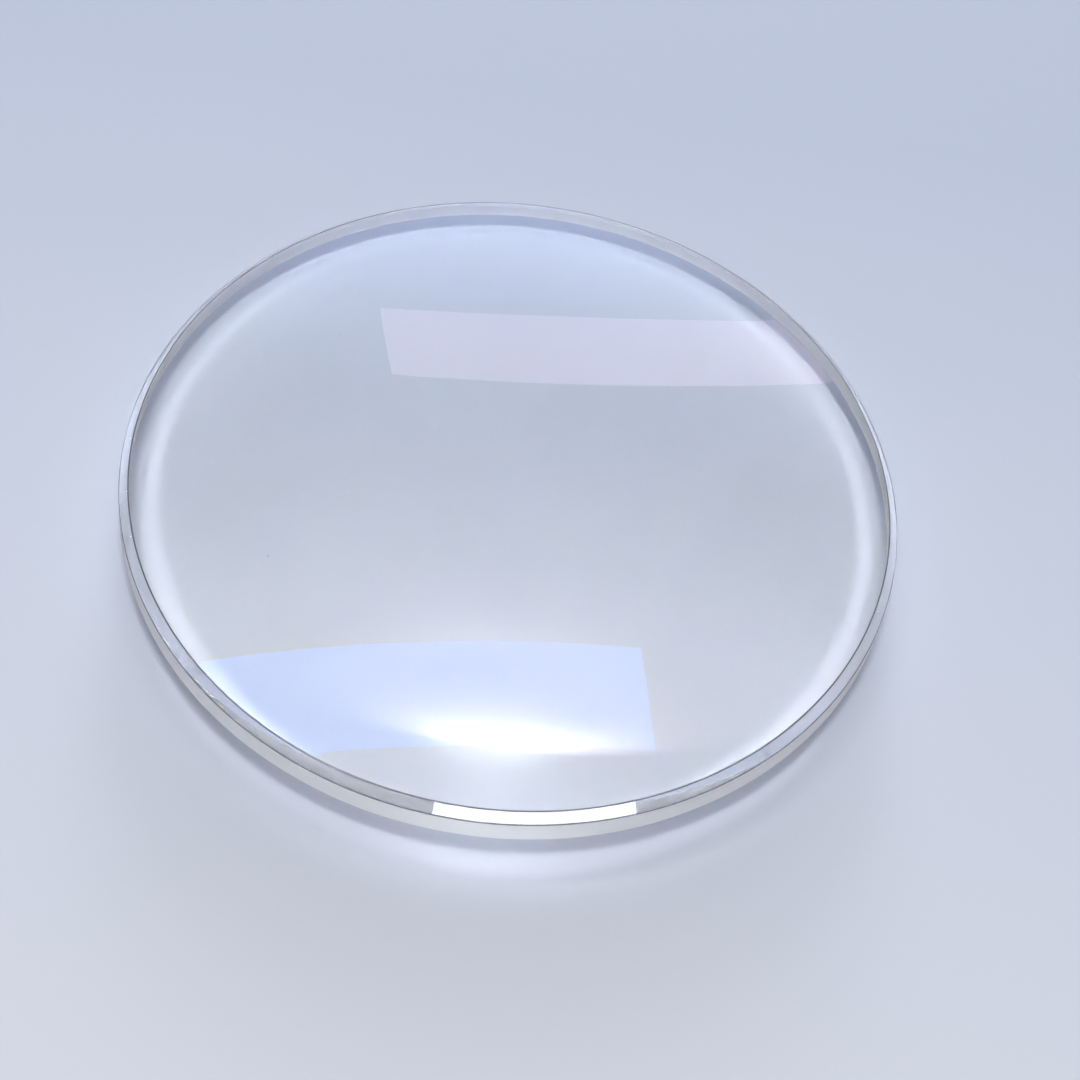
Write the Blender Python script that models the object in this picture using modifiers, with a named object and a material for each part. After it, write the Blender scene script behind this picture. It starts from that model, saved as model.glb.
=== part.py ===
"""Double-convex lens: one ground and polished piece of clear glass.

The lens lies level on the crown of its lower face. The origin is at that crown, +Z is the axis that the piece is
turned about, and lengths are in metres.
"""
import math

import bpy

# Driving dimensions
DIAMETER = 0.050  # across the ground wall, which a lens holder grips
EDGE_THICKNESS = 0.0029  # between the feet of the two faces
UPPER_RISE = 0.00175  # from the foot of the upper face to its crown
LOWER_RISE = 0.00175  # from the foot of the lower face to its crown
UPPER_BEVEL_WIDTH = 0.0006  # bevel between the upper face and the wall, seen from above
UPPER_BEVEL_HEIGHT = 0.0006  # the same bevel, seen from the side
LOWER_BEVEL_WIDTH = 0.00065  # bevel between the wall and the lower face, seen from below
LOWER_BEVEL_HEIGHT = 0.00065  # the same bevel, seen from the side

# Fineness of the facets
TURN_STEPS = 96
FACE_RINGS = 10
SHARP_ANGLE = math.radians(20)
WELD_DISTANCE = 0.000001

# Finish
GLASS_COLOUR = (0.93, 0.95, 0.97, 1.0)
GLASS_ROUGHNESS = 0.02
GLASS_INDEX = 1.52

COLLECTION_NAME = "biconvex_lens"
NODE_NAME = "lens_glass"


def clear_scene():
    """Remove every object that the open file holds."""
    for item in list(bpy.data.objects):
        bpy.data.objects.remove(item)


def glass_material():
    """Return the clear polished glass."""
    material = bpy.data.materials.new("clear_glass")
    material.use_nodes = True
    shader = material.node_tree.nodes["Principled BSDF"]
    shader.inputs["Base Color"].default_value = GLASS_COLOUR
    shader.inputs["Metallic"].default_value = 0.0
    shader.inputs["Roughness"].default_value = GLASS_ROUGHNESS
    shader.inputs["IOR"].default_value = GLASS_INDEX
    shader.inputs["Transmission Weight"].default_value = 1.0
    return material


def face_points(foot_radius, rise):
    """Return a face's points from its crown to its foot as (radius, drop below the crown), on one arc."""
    curve_radius = (foot_radius ** 2 + rise ** 2) / (2 * rise)
    half_angle = math.asin(foot_radius / curve_radius)
    angles = [half_angle * ring / FACE_RINGS for ring in range(FACE_RINGS + 1)]
    return [(curve_radius * math.sin(angle), curve_radius * (1 - math.cos(angle))) for angle in angles]


def lens_profile():
    """Return the half section as (radius, height) points, from the upper crown down the outside to the lower one."""
    wall_radius = DIAMETER / 2
    upper_foot = LOWER_RISE + EDGE_THICKNESS
    upper_crown = upper_foot + UPPER_RISE
    upper = face_points(wall_radius - UPPER_BEVEL_WIDTH, UPPER_RISE)
    lower = face_points(wall_radius - LOWER_BEVEL_WIDTH, LOWER_RISE)
    points = [(radius, upper_crown - drop) for radius, drop in upper]
    points.append((wall_radius, upper_foot - UPPER_BEVEL_HEIGHT))
    points.append((wall_radius, LOWER_RISE + LOWER_BEVEL_HEIGHT))
    points.extend(reversed(lower))
    return points


def turned_object(name, profile, material, collection):
    """Return an object turned about +Z from a profile that stands in the XZ plane."""
    mesh = bpy.data.meshes.new(name)
    corners = [(radius, 0.0, height) for radius, height in profile]
    edges = [(index, index + 1) for index in range(len(profile) - 1)]
    mesh.from_pydata(corners, edges, [])
    mesh.materials.append(material)
    turned = bpy.data.objects.new(name, mesh)
    collection.objects.link(turned)
    screw = turned.modifiers.new("turn", "SCREW")
    screw.axis = "Z"
    screw.angle = math.tau
    screw.steps = TURN_STEPS
    screw.render_steps = TURN_STEPS
    screw.use_merge_vertices = True
    screw.merge_threshold = WELD_DISTANCE
    return turned


def smooth_between_edges(turned):
    """Replace a turned object's profile by its turned mesh, smooth apart from the bevels' edges."""
    state = bpy.context.evaluated_depsgraph_get()
    profile_mesh = turned.data
    turned_mesh = bpy.data.meshes.new_from_object(turned.evaluated_get(state))
    turned.modifiers.clear()
    turned.data = turned_mesh
    bpy.data.meshes.remove(profile_mesh)
    turned_mesh.name = turned.name
    turned_mesh.shade_smooth()
    turned_mesh.set_sharp_from_angle(angle=SHARP_ANGLE)


def main():
    """Build the lens in its own collection."""
    clear_scene()
    collection = bpy.data.collections.new(COLLECTION_NAME)
    bpy.context.scene.collection.children.link(collection)
    lens = turned_object(NODE_NAME, lens_profile(), glass_material(), collection)
    smooth_between_edges(lens)


if __name__ == "__main__":
    main()
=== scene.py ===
"""Studio scene of a clear double-convex glass lens that lies on a pale table.

The lens takes its overall size from the frame. Lengths are in metres and angles in degrees.
"""
import logging
import math
from dataclasses import dataclass
from enum import Enum
from typing import Any, Union

import bmesh
import bpy
from mathutils import Matrix, Quaternion, Vector


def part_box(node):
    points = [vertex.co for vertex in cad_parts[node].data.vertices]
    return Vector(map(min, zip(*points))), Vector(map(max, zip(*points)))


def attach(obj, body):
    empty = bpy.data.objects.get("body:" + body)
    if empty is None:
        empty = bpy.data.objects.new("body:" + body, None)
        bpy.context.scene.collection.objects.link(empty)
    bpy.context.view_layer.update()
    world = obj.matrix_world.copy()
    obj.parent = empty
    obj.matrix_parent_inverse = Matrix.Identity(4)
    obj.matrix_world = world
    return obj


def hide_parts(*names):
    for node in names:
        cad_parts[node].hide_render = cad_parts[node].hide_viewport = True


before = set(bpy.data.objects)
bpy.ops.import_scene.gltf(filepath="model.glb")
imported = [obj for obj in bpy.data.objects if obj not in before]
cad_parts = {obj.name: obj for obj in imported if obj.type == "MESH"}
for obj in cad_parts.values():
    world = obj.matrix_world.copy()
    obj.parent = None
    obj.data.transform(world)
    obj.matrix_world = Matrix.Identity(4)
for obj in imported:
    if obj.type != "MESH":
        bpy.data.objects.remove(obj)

LOG = logging.getLogger("lens_scene")
MM = 0.001
LENS_NODE = "lens_glass"
ROOT_BODY = "root"

GLASS_INDEX = 1.52
GLASS_BOUNCES = 24
BRIGHTEST_BOUNCE = 50.0

ORIGIN = (0.0, 0.0, 0.0)
ALONG_Y = (0.0, 1.0, 0.0)
ALONG_Z = (0.0, 0.0, 1.0)
HALF = 0.5
WHITE = (1.0, 1.0, 1.0)
WARM_WHITE = (1.0, 0.98, 0.95)

Colour = tuple[float, float, float]
Place = tuple[float, float, float]
Number = Union[int, float]


class LensZone(Enum):
    """Surfaces of the lens, in the order of its material slots."""

    UPPER_FACE = 0
    UPPER_BEVEL = 1
    GROUND_EDGE = 2
    LOWER_FACE = 3
    # Painted shade: the dark line drawn on the worn corners next to the upper face.
    WORN_LINE = 4


class ShaderValue:
    """A node socket that takes part in Python expressions."""

    def __init__(self, tree: "ShaderTree", socket: bpy.types.NodeSocket) -> None:
        """Wrap one output socket of a tree."""
        self.tree = tree
        self.socket = socket

    def _math(self, operation: str, first: Any, second: Any) -> "ShaderValue":
        """Return the result of a new Math node on two values or numbers."""
        return self.tree.node("ShaderNodeMath", {"operation": operation}, {0: first, 1: second})

    def __add__(self, other: Any) -> "ShaderValue":
        """Return self + other."""
        return self._math("ADD", self, other)

    def __radd__(self, other: Any) -> "ShaderValue":
        """Return other + self."""
        return self._math("ADD", other, self)

    def __sub__(self, other: Any) -> "ShaderValue":
        """Return self - other."""
        return self._math("SUBTRACT", self, other)

    def __rsub__(self, other: Any) -> "ShaderValue":
        """Return other - self."""
        return self._math("SUBTRACT", other, self)

    def __mul__(self, other: Any) -> "ShaderValue":
        """Return self * other."""
        return self._math("MULTIPLY", self, other)

    def __rmul__(self, other: Any) -> "ShaderValue":
        """Return other * self."""
        return self._math("MULTIPLY", other, self)

    def __truediv__(self, other: Any) -> "ShaderValue":
        """Return self / other."""
        return self._math("DIVIDE", self, other)

    def __rtruediv__(self, other: Any) -> "ShaderValue":
        """Return other / self."""
        return self._math("DIVIDE", other, self)

    def __pow__(self, other: Any) -> "ShaderValue":
        """Return self to the power of other."""
        return self._math("POWER", self, other)

    def __rpow__(self, other: Any) -> "ShaderValue":
        """Return other to the power of self."""
        return self._math("POWER", other, self)

    def __lt__(self, other: Any) -> "ShaderValue":
        """Return 1 where self is below other."""
        return self._math("LESS_THAN", self, other)

    def at_least(self, lowest: Number) -> "ShaderValue":
        """Return self, or lowest where self is below it."""
        return self._math("MAXIMUM", self, lowest)


class ShaderTree:
    """The nodes of one material or world."""

    def __init__(self, owner: Union[bpy.types.Material, bpy.types.World]) -> None:
        """Start an empty tree.

        Args:
            owner: The material or world that the tree belongs to.
        """
        owner.use_nodes = True
        self.tree = owner.node_tree
        self.tree.nodes.clear()

    def node(
        self, kind: str, settings: dict[str, Any], inputs: dict[Any, Any], output: Union[int, str] = 0,
    ) -> ShaderValue:
        """Add one node.

        Args:
            kind: Blender's type of node.
            settings: Attributes that are set first; a list of (position, colour) sets a ramp's stops.
            inputs: Values or links by socket name or index.
            output: Name or index of the output to return.

        Returns:
            The chosen output, or the first input of a node without outputs.
        """
        added = self.tree.nodes.new(kind)
        for name, setting in settings.items():
            if name == "stops":
                self._set_stops(added.color_ramp, setting)
            else:
                setattr(added, name, setting)
        for key, value in inputs.items():
            if isinstance(value, ShaderValue):
                self.tree.links.new(value.socket, added.inputs[key])
            else:
                added.inputs[key].default_value = value
        if not added.outputs:
            return ShaderValue(self, added.inputs[0])
        return ShaderValue(self, added.outputs[output])

    @staticmethod
    def _set_stops(ramp: bpy.types.ColorRamp, stops: list[tuple[float, Colour]]) -> None:
        """Give a ramp its stops.

        Args:
            ramp: The ramp of a node that was just added.
            stops: Positions from 0 to 1 and their colours.
        """
        while len(ramp.elements) < len(stops):
            ramp.elements.new(1.0)
        for element, (position, colour) in zip(ramp.elements, stops):
            element.position = position
            element.color = (*colour, 1.0)

    def place(self) -> ShaderValue:
        """Return the place on the piece, in metres."""
        return self.node("ShaderNodeTexCoord", {}, {}, "Object")

    def noise(self, size: Number, detail: Number = 2.0) -> ShaderValue:
        """Return a noise between 0 and 1 with blots of about a size in metres."""
        sockets = {"Vector": self.place(), "Scale": 1 / size, "Detail": detail}
        return self.node("ShaderNodeTexNoise", {}, sockets, "Fac")

    def surface(self, shader: ShaderValue) -> None:
        """Use a shader as the surface of a material."""
        self.node("ShaderNodeOutputMaterial", {}, {"Surface": shader})


@dataclass(frozen=True)
class CoatedFace:
    """Polished face with a thin anti-reflection coat that leaves a faint tint, and a little dust.

    Attributes:
        name: Name of the material.
        tint: Colour of what little the coat reflects.
        glass: Colour of the glass.
        dust_colour: Colour of the dust on the face.
        dust_roughness: Roughness of the dust.
        film: Share of the face that the dust film would hide where its clouds are thickest.
        film_patch: Size of the film's clouds, left by wiping.
        film_detail: Detail of the clouds.
        film_start: Level of the clouds' noise from which they show.
        speck_cell: Size of the cells in space that hold one speck each; only those on the face show.
        speck: Radius of a speck, as a share of its cell.
        speck_cover: Share of the face that a speck hides.
    """

    name: str
    tint: Colour
    glass: Colour = (0.975, 0.98, 1.0)
    dust_colour: Colour = (0.80, 0.81, 0.84)
    dust_roughness: float = 0.9
    film: float = 0.05
    film_patch: float = 9.0 * MM
    film_detail: float = 5.0
    film_start: float = 0.45
    speck_cell: float = 4.0 * MM
    speck: float = 0.016
    speck_cover: float = 0.5

    def _polish(self, tree: ShaderTree) -> ShaderValue:
        """Return the shader of the clean coated glass."""
        return tree.node("ShaderNodeBsdfPrincipled", {}, {
            "Base Color": (*self.glass, 1.0),
            "Roughness": 0.0,
            "IOR": GLASS_INDEX,
            "Transmission Weight": 1.0,
            "Specular Tint": (*self.tint, 1.0),
        })

    def _dust(self, tree: ShaderTree) -> ShaderValue:
        """Return the shader of the dust."""
        sockets = {"Base Color": (*self.dust_colour, 1.0), "Roughness": self.dust_roughness}
        return tree.node("ShaderNodeBsdfPrincipled", {}, sockets)

    def _cover(self, tree: ShaderTree) -> ShaderValue:
        """Return the share of the face that dust hides.

        Args:
            tree: Tree of the material.

        Returns:
            The film's clouds and the specks together.
        """
        cells = {"Vector": tree.place(), "Scale": 1 / self.speck_cell}
        to_speck = tree.node("ShaderNodeTexVoronoi", {}, cells, "Distance")
        clouds = (tree.noise(self.film_patch, self.film_detail) - self.film_start).at_least(0.0)
        return clouds * self.film + (to_speck < self.speck) * self.speck_cover

    def material(self) -> bpy.types.Material:
        """Make the finish.

        Returns:
            The material.
        """
        material = bpy.data.materials.new(self.name)
        tree = ShaderTree(material)
        layers = {0: self._cover(tree), 1: self._polish(tree), 2: self._dust(tree)}
        tree.surface(tree.node("ShaderNodeMixShader", {}, layers))
        return material


@dataclass(frozen=True)
class EdgeFinish:
    """Finish of a narrow surface at the lens' edge, from polished to ground.

    Attributes:
        name: Name of the material.
        roughness: Roughness of the surface.
        clear: Share of the light that goes through; the rest is scattered.
        colour: Colour of the surface.
        grain: Depth of the grain left by grinding.
        grain_size: Size of the grain.
        index: Index of refraction.
    """

    name: str
    roughness: float
    clear: float
    colour: Colour
    grain: float
    grain_size: float = 0.06 * MM
    index: float = GLASS_INDEX

    def material(self) -> bpy.types.Material:
        """Make the finish.

        Returns:
            The material.
        """
        material = bpy.data.materials.new(self.name)
        tree = ShaderTree(material)
        relief = {"Height": tree.noise(self.grain_size), "Distance": self.grain}
        shader = tree.node("ShaderNodeBsdfPrincipled", {}, {
            "Base Color": (*self.colour, 1.0),
            "Roughness": self.roughness,
            "IOR": self.index,
            "Transmission Weight": self.clear,
            "Normal": tree.node("ShaderNodeBump", {}, relief),
        })
        tree.surface(shader)
        return material


@dataclass(frozen=True)
class PlainTable:
    """Matt table top that is a little paler towards the viewer, a painted gradient of light.

    Attributes:
        name: Name of the material.
        far_colour: Colour at the far end and beyond.
        near_colour: Colour at the near end and before it.
        far_end: Place along Y where the change ends.
        near_end: Place along Y where the change starts.
        roughness: Roughness of the top.
    """

    name: str = "pale_table"
    far_colour: Colour = (0.515, 0.575, 0.72)
    near_colour: Colour = (0.69, 0.72, 0.80)
    far_end: float = 40.0 * MM
    near_end: float = -45.0 * MM
    roughness: float = 0.7

    def material(self) -> bpy.types.Material:
        """Make the finish.

        Returns:
            The material.
        """
        material = bpy.data.materials.new(self.name)
        tree = ShaderTree(material)
        depth = tree.node("ShaderNodeSeparateXYZ", {}, {0: tree.place()}, "Y")
        # Painted light: the colour grows paler towards the near end, as if more light fell there.
        change = (depth - self.near_end) / (self.far_end - self.near_end)
        stops = [(0.0, self.near_colour), (1.0, self.far_colour)]
        colour = tree.node("ShaderNodeValToRGB", {"stops": stops}, {0: change})
        sockets = {"Base Color": colour, "Roughness": self.roughness}
        tree.surface(tree.node("ShaderNodeBsdfPrincipled", {}, sockets))
        return material


@dataclass(frozen=True)
class PanelGlow:
    """Even glow of a diffuser, which only direct views and mirror images of it show.

    Attributes:
        name: Name of the material.
        colour: Colour of the glow.
        strength: Brightness of the glow, where 1 is white.
    """

    name: str
    colour: Colour
    strength: float

    def material(self) -> bpy.types.Material:
        """Make the finish.

        Returns:
            The material.
        """
        material = bpy.data.materials.new(self.name)
        tree = ShaderTree(material)
        diffuse_depth = tree.node("ShaderNodeLightPath", {}, {}, "Diffuse Depth")
        shader = tree.node("ShaderNodeEmission", {}, {
            "Color": (*self.colour, 1.0),
            "Strength": (diffuse_depth < HALF) * self.strength,
        })
        tree.surface(shader)
        return material


def direction(azimuth: float, elevation: float) -> Vector:
    """Turn two angles into a direction.

    Args:
        azimuth: Angle clockwise from +Y, seen from above.
        elevation: Angle above the table's plane.

    Returns:
        The unit vector.
    """
    around = math.radians(azimuth)
    upward = math.radians(elevation)
    level = math.cos(upward)
    return Vector((math.sin(around) * level, math.cos(around) * level, math.sin(upward)))


def linked(name: str, data: bpy.types.ID) -> bpy.types.Object:
    """Put new data into the scene.

    Args:
        name: Name of the object.
        data: Mesh, light or camera.

    Returns:
        The new object, in the scene's own collection.
    """
    made = bpy.data.objects.new(name, data)
    bpy.context.scene.collection.objects.link(made)
    return made


def finished_mesh(name: str, shape: bmesh.types.BMesh) -> bpy.types.Mesh:
    """Turn a shape into a mesh.

    Args:
        name: Name of the mesh.
        shape: The shape, which is freed.

    Returns:
        The mesh.
    """
    mesh = bpy.data.meshes.new(name)
    shape.to_mesh(mesh)
    shape.free()
    return mesh


@dataclass(frozen=True)
class Lens:
    """Double-convex lens that lies level on the crown of its lower face.

    Attributes:
        radius: Radius of the ground wall.
        height: Distance between the two crowns.
        upper_rise: From the foot of the upper face to its crown.
        lower_rise: From the foot of the lower face to its crown.
        upper_bevel: Width and height of the upper bevel.
        lower_bevel: Width and height of the lower bevel.
        corner_wear: Width to which the corners between the surfaces are worn, on each side.
        corner_steps: Strips of a worn corner.
        corner_angle: Least angle between two surfaces that makes a corner.
        dark_line_reach: Distance below the upper face's foot down to which worn corners get the painted dark
            line, a painted shade.
        weld: Distance within which points are merged.
        turn_steps: Steps of the turned shape.
        face_steps: Rings of each face.
    """

    radius: float
    height: float
    upper_rise: float = 1.75 * MM
    lower_rise: float = 1.75 * MM
    upper_bevel: float = 0.6 * MM
    lower_bevel: float = 0.65 * MM
    corner_wear: float = 0.05 * MM
    corner_steps: int = 3
    corner_angle: float = 20.0
    dark_line_reach: float = 0.9 * MM
    weld: float = 0.005 * MM
    turn_steps: int = 480
    face_steps: int = 30

    @staticmethod
    def _step(shape: bmesh.types.BMesh, corner: bmesh.types.BMVert, place: Place) -> bmesh.types.BMVert:
        """Draw a straight stretch of the section.

        Args:
            shape: The section so far.
            corner: Its last corner.
            place: Where the stretch ends.

        Returns:
            The new last corner.
        """
        drawn = bmesh.ops.extrude_vert_indiv(shape, verts=[corner])
        last = drawn["verts"][0]
        bmesh.ops.translate(shape, verts=[last], vec=Vector(place) - last.co)
        return last

    def _arc(
        self, shape: bmesh.types.BMesh, corner: bmesh.types.BMVert, centre: Place, angle: float,
    ) -> bmesh.types.BMVert:
        """Draw an arc of the section.

        Args:
            shape: The section so far.
            corner: Its last corner.
            centre: Centre of the arc.
            angle: Angle of the arc in radians.

        Returns:
            The new last corner.
        """
        drawn = bmesh.ops.spin(
            shape, geom=[corner], cent=centre, axis=ALONG_Y, angle=angle, steps=self.face_steps)
        return next(item for item in drawn["geom_last"] if isinstance(item, bmesh.types.BMVert))

    def _section(self, shape: bmesh.types.BMesh) -> None:
        """Draw the half section from the upper crown down the outside to the lower crown.

        Args:
            shape: An empty shape.
        """
        upper_radius = self.radius - self.upper_bevel
        lower_radius = self.radius - self.lower_bevel
        upper_foot = self.height - self.upper_rise
        upper_curve = (upper_radius ** 2 + self.upper_rise ** 2) / (2 * self.upper_rise)
        lower_curve = (lower_radius ** 2 + self.lower_rise ** 2) / (2 * self.lower_rise)
        upper_centre = (0.0, 0.0, self.height - upper_curve)
        lower_centre = (0.0, 0.0, lower_curve)
        corner = shape.verts.new((0.0, 0.0, self.height))
        corner = self._arc(shape, corner, upper_centre, math.asin(upper_radius / upper_curve))
        corner = self._step(shape, corner, (self.radius, 0.0, upper_foot - self.upper_bevel))
        corner = self._step(shape, corner, (self.radius, 0.0, self.lower_rise + self.lower_bevel))
        corner = self._step(shape, corner, (lower_radius, 0.0, self.lower_rise))
        self._arc(shape, corner, lower_centre, math.asin(lower_radius / lower_curve))

    def _zone(self, face: bmesh.types.BMFace) -> LensZone:
        """Tell which surface of the lens a face is part of.

        Args:
            face: A face of the turned shape.

        Returns:
            The surface.
        """
        middle = face.calc_center_median().z
        upper_foot = self.height - self.upper_rise
        if middle > upper_foot:
            return LensZone.UPPER_FACE
        if middle < self.lower_rise:
            return LensZone.LOWER_FACE
        if middle > upper_foot - self.upper_bevel:
            return LensZone.UPPER_BEVEL
        return LensZone.GROUND_EDGE

    def _turn(self, shape: bmesh.types.BMesh) -> None:
        """Turn the section into a closed shape and tell its surfaces apart.

        Args:
            shape: The section.
        """
        section = shape.verts[:] + shape.edges[:]
        bmesh.ops.spin(
            shape, geom=section, cent=ORIGIN, axis=ALONG_Z, angle=math.tau, steps=self.turn_steps,
            use_merge=True)
        bmesh.ops.remove_doubles(shape, verts=shape.verts[:], dist=self.weld)
        bmesh.ops.recalc_face_normals(shape, faces=shape.faces[:])
        for face in shape.faces:
            face.material_index = self._zone(face).value
            face.smooth = True

    def _wear(self, shape: bmesh.types.BMesh) -> None:
        """Round the corners, with shading that stays apart from that of the surfaces beside them.

        Args:
            shape: The turned shape.
        """
        least = math.radians(self.corner_angle)
        corners = [edge for edge in shape.edges if edge.calc_face_angle(0.0) > least]
        worn = bmesh.ops.bevel(
            shape, geom=corners, offset=self.corner_wear, affect="EDGES", segments=self.corner_steps,
            profile=0.5, material=-1)
        strips = set(worn["faces"])
        # Worn strips near the upper face get the dark line finish, which is painted shade.
        lowest_dark_line = self.height - self.upper_rise - self.dark_line_reach
        for face in worn["faces"]:
            if face.calc_center_median().z > lowest_dark_line:
                face.material_index = LensZone.WORN_LINE.value
            for edge in face.edges:
                edge.smooth = strips.issuperset(edge.link_faces)

    def build(self, finishes: dict[LensZone, bpy.types.Material]) -> bpy.types.Object:
        """Make the lens and put it in the frame.

        Args:
            finishes: The material of each surface.

        Returns:
            The lens.
        """
        shape = bmesh.new()
        self._section(shape)
        self._turn(shape)
        self._wear(shape)
        mesh = finished_mesh("lens", shape)
        for zone in LensZone:
            mesh.materials.append(finishes[zone])
        lens = linked("lens", mesh)
        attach(lens, ROOT_BODY)
        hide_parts(LENS_NODE)
        return lens


@dataclass(frozen=True)
class Table:
    """Large flat table top just under the lens.

    Attributes:
        size: Length of each side.
        gap: Distance between the top and the lower crown.
    """

    size: float = 6.0
    gap: float = 0.02 * MM

    def build(self, material: bpy.types.Material) -> bpy.types.Object:
        """Make the table.

        Args:
            material: Finish of the top.

        Returns:
            The table, as a stage object.
        """
        shape = bmesh.new()
        bmesh.ops.create_grid(shape, x_segments=1, y_segments=1, size=self.size / 2)
        bmesh.ops.translate(shape, verts=shape.verts[:], vec=(0.0, 0.0, -self.gap))
        mesh = finished_mesh("table", shape)
        mesh.materials.append(material)
        table = linked("table", mesh)
        return table


@dataclass(frozen=True)
class GlowStrip:
    """Upright strip that faces the lens and shows only in its mirror images.

    Attributes:
        name: Name of the strip.
        azimuth: Direction of its middle from the lens, clockwise from +Y.
        elevation: Height of its middle above the table's plane, as an angle.
        distance: Distance of its middle from the lens.
        width: Level side.
        height: Other side.
    """

    name: str
    azimuth: float
    elevation: float
    distance: float
    width: float
    height: float

    def build(self, material: bpy.types.Material) -> bpy.types.Object:
        """Make the strip.

        Args:
            material: Its glow.

        Returns:
            The strip, as a stage object.
        """
        shape = bmesh.new()
        bmesh.ops.create_grid(shape, x_segments=1, y_segments=1, size=HALF)
        bmesh.ops.scale(shape, verts=shape.verts[:], vec=(self.width, self.height, 1.0))
        outward = direction(self.azimuth, self.elevation)
        turn = outward.to_track_quat("Z", "Y").to_matrix().to_4x4()
        place = Matrix.Translation(outward * self.distance) @ turn
        bmesh.ops.transform(shape, matrix=place, verts=shape.verts[:])
        mesh = finished_mesh(self.name, shape)
        mesh.materials.append(material)
        strip = linked(self.name, mesh)
        strip.visible_diffuse = False
        strip.visible_shadow = False
        return strip


@dataclass(frozen=True)
class CeilingLamp:
    """Evenly bright rectangular lamp that hangs level and shines down.

    Attributes:
        name: Name of the lamp.
        width: Side along its own x.
        depth: Side along its own y.
        radiance: Brightness of its face, where 1 is that of a white sheet in plain light.
        centre: Place of its middle.
        turn: Turn about the vertical.
        mirrored: Whether outer surfaces mirror it.
        colour: Colour of its light.
    """

    name: str
    width: float
    depth: float
    radiance: float
    centre: Place
    turn: float
    mirrored: bool = True
    colour: Colour = WHITE

    def build(self) -> bpy.types.Object:
        """Make the lamp.

        Returns:
            The lamp.
        """
        light = bpy.data.lights.new(self.name, "AREA")
        light.shape = "RECTANGLE"
        light.size = self.width
        light.size_y = self.depth
        light.energy = self.radiance * math.pi * self.width * self.depth
        light.color = self.colour
        lamp = linked(self.name, light)
        lamp.matrix_world = Matrix.Translation(self.centre) @ Matrix.Rotation(math.radians(self.turn), 4, "Z")
        lamp.visible_glossy = self.mirrored
        return lamp


@dataclass(frozen=True)
class SideGlow:
    """Soft glow of one side of the room.

    Attributes:
        azimuth: Direction of its middle, clockwise from +Y.
        elevation: Height of its middle, as an angle.
        strength: Brightness of its middle.
        tightness: Power of the cosine with which it fades.
    """

    azimuth: float
    elevation: float
    strength: float
    tightness: float

    def brightness(self, tree: ShaderTree, towards: ShaderValue) -> ShaderValue:
        """Work out the glow for every direction.

        Args:
            tree: Tree of the world.
            towards: The direction that is looked at.

        Returns:
            The brightness.
        """
        vectors = {0: towards, 1: direction(self.azimuth, self.elevation)}
        cosine = tree.node("ShaderNodeVectorMath", {"operation": "DOT_PRODUCT"}, vectors, "Value")
        return cosine.at_least(0.0) ** self.tightness * self.strength


@dataclass(frozen=True)
class Room:
    """Pale light of the room.

    Attributes:
        glows: Sides of the room that are brighter.
        colour: Colour of the light.
        strength: Brightness all round.
    """

    glows: tuple[SideGlow, ...]
    colour: Colour
    strength: float

    def build(self) -> bpy.types.World:
        """Make the room's light.

        Returns:
            The world.
        """
        world = bpy.data.worlds.new("room")
        tree = ShaderTree(world)
        towards = tree.node("ShaderNodeTexCoord", {}, {}, "Generated")
        brightness: Any = self.strength
        for glow in self.glows:
            brightness = brightness + glow.brightness(tree, towards)
        sockets = {"Color": (*self.colour, 1.0), "Strength": brightness}
        light = tree.node("ShaderNodeBackground", {}, sockets)
        tree.node("ShaderNodeOutputWorld", {}, {"Surface": light})
        bpy.context.scene.world = world
        return world


@dataclass(frozen=True)
class Studio:
    """Lamps, bright strip and room light around the lens.

    Attributes:
        reach: Height of the lamps and distance of the strip.
        lamp_turn: Turn of the lamps about the vertical.
        far_side: Direction of the room's bright side, clockwise from +Y.
        near_side: Direction of the side behind the viewer.
    """

    reach: float = 2.0
    lamp_turn: float = 10.5
    far_side: float = -3.5
    near_side: float = 180.0

    def lamps(self) -> list[bpy.types.Object]:
        """Make the ceiling lamps.

        Returns:
            The panel that both faces mirror and the panel that casts most of the light.
        """
        far_panel = CeilingLamp(
            "far_panel", width=1.371, depth=0.287, radiance=5.8, centre=(-0.3035, 0.736, self.reach),
            turn=self.lamp_turn)
        overhead_panel = CeilingLamp(
            "overhead_panel", width=0.45, depth=0.30, radiance=50.0, centre=(-0.06, -0.36, self.reach),
            turn=self.lamp_turn, mirrored=False)
        return [far_panel.build(), overhead_panel.build()]

    def near_strip(self) -> bpy.types.Object:
        """Make the bright strip that the near part of the upper bevel mirrors.

        Returns:
            The strip.
        """
        strip = GlowStrip(
            "near_strip", azimuth=163.0, elevation=30.0, distance=self.reach, width=1.55, height=0.30)
        return strip.build(PanelGlow("strip_glow", WARM_WHITE, strength=16.0).material())

    def room(self) -> bpy.types.World:
        """Make the room's light.

        Returns:
            The world.
        """
        far_wall = SideGlow(self.far_side, elevation=25.0, strength=3.6, tightness=20.0)
        window = SideGlow(self.far_side, elevation=13.0, strength=26.0, tightness=150.0)
        near_wall = SideGlow(self.near_side, elevation=10.0, strength=1.3, tightness=8.0)
        return Room((far_wall, window, near_wall), colour=(0.93, 0.95, 1.0), strength=0.06).build()


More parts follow.
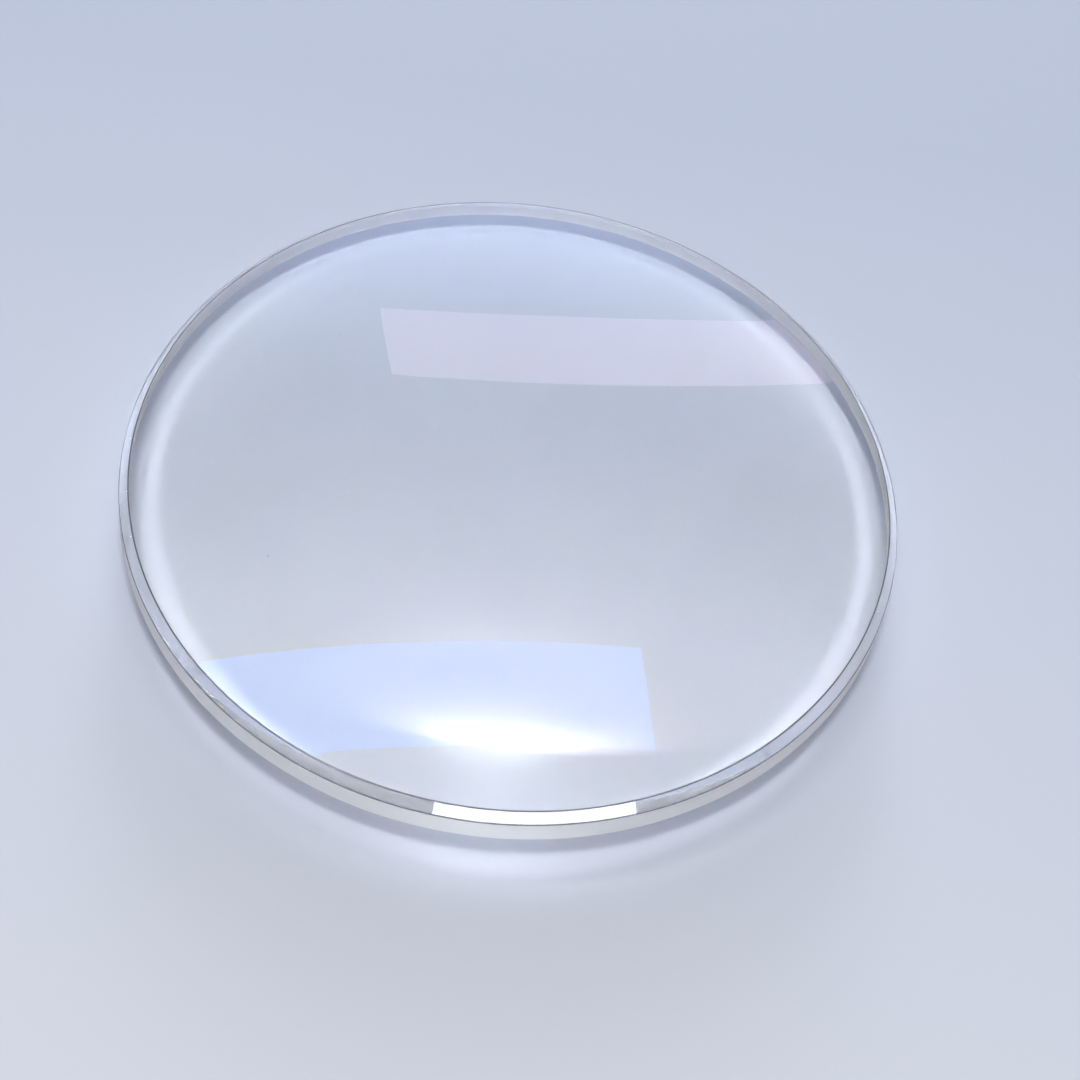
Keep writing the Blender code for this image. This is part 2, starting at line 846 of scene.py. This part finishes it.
@dataclass(frozen=True)
class Viewpoint:
    """Camera at the photograph's viewing angle.

    Attributes:
        place: Place of the camera.
        aim: Point that the middle of the picture shows.
        roll: Turn about the line of sight.
        lens: Focal length in millimetres.
        sensor: Width of the sensor in millimetres.
        near_clip: Distance from which things are shown.
    """

    place: Place = (0.0, -104.54 * MM, 138.564 * MM)
    aim: Place = (2.289 * MM, 0.032 * MM, -1.2 * MM)
    roll: float = 9.274
    lens: float = 88.43
    sensor: float = 36.0
    near_clip: float = 1.0 * MM

    def build(self) -> bpy.types.Object:
        """Make the camera and look through it.

        Returns:
            The scene's camera.
        """
        data = bpy.data.cameras.new("camera")
        data.lens = self.lens
        data.sensor_width = self.sensor
        data.clip_start = self.near_clip
        camera = linked("camera", data)
        camera.location = self.place
        gaze = (Vector(self.aim) - Vector(self.place)).to_track_quat("-Z", "Y")
        roll = Quaternion(ALONG_Z, math.radians(self.roll))
        camera.rotation_euler = (gaze @ roll).to_euler()
        bpy.context.scene.camera = camera
        return camera


def lens_finishes() -> dict[LensZone, bpy.types.Material]:
    """Make the lens' finishes.

    Returns:
        The material of each surface.
    """
    finishes = {
        LensZone.UPPER_FACE: CoatedFace("blue_coated_face", tint=(0.03, 0.24, 0.95)),
        LensZone.UPPER_BEVEL: EdgeFinish(
            "polished_bevel", roughness=0.02, clear=1.0, colour=(0.99, 0.985, 1.0), grain=0.0),
        LensZone.GROUND_EDGE: EdgeFinish(
            "ground_edge", roughness=1.0, clear=0.3, colour=(0.97, 0.97, 0.97), grain=0.002 * MM),
        # Painted shade: a dark colour and a low index, so that the upper corners show a dark line in place of
        # their shaded reflection.
        LensZone.WORN_LINE: EdgeFinish(
            "painted_dark_line", roughness=1.0, clear=0.1, colour=(0.16, 0.17, 0.20), grain=0.002 * MM, index=1.1),
        LensZone.LOWER_FACE: CoatedFace("violet_coated_face", tint=(0.49, 0.35, 0.47)),
    }
    return {zone: finish.material() for zone, finish in finishes.items()}


def let_light_through(settings: Any) -> None:
    """Let light pass through the glass sharply and bounce in it often enough to come out again.

    Args:
        settings: The scene's light path settings.
    """
    settings.blur_glossy = 0.0
    settings.sample_clamp_indirect = BRIGHTEST_BOUNCE
    settings.max_bounces = GLASS_BOUNCES
    settings.glossy_bounces = GLASS_BOUNCES
    settings.transmission_bounces = GLASS_BOUNCES


def main() -> None:
    """Build the lens, its table, the light and the camera, and log what was made."""
    logging.basicConfig(level=logging.INFO)
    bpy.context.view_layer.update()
    lowest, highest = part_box(LENS_NODE)
    lens = Lens(radius=(highest[0] - lowest[0]) / 2, height=highest[2] - lowest[2])
    piece = lens.build(lens_finishes())
    LOG.info("%s: %d faces", piece.name, len(piece.data.polygons))
    studio = Studio()
    surroundings = [Table().build(PlainTable().material()), *studio.lamps(), studio.near_strip()]
    LOG.info("around it: %s", ", ".join(item.name for item in surroundings))
    studio.room()
    Viewpoint().build()
    bpy.context.scene.view_settings.view_transform = "Standard"
    let_light_through(bpy.context.scene.cycles)


if __name__ == "__main__":
    main()
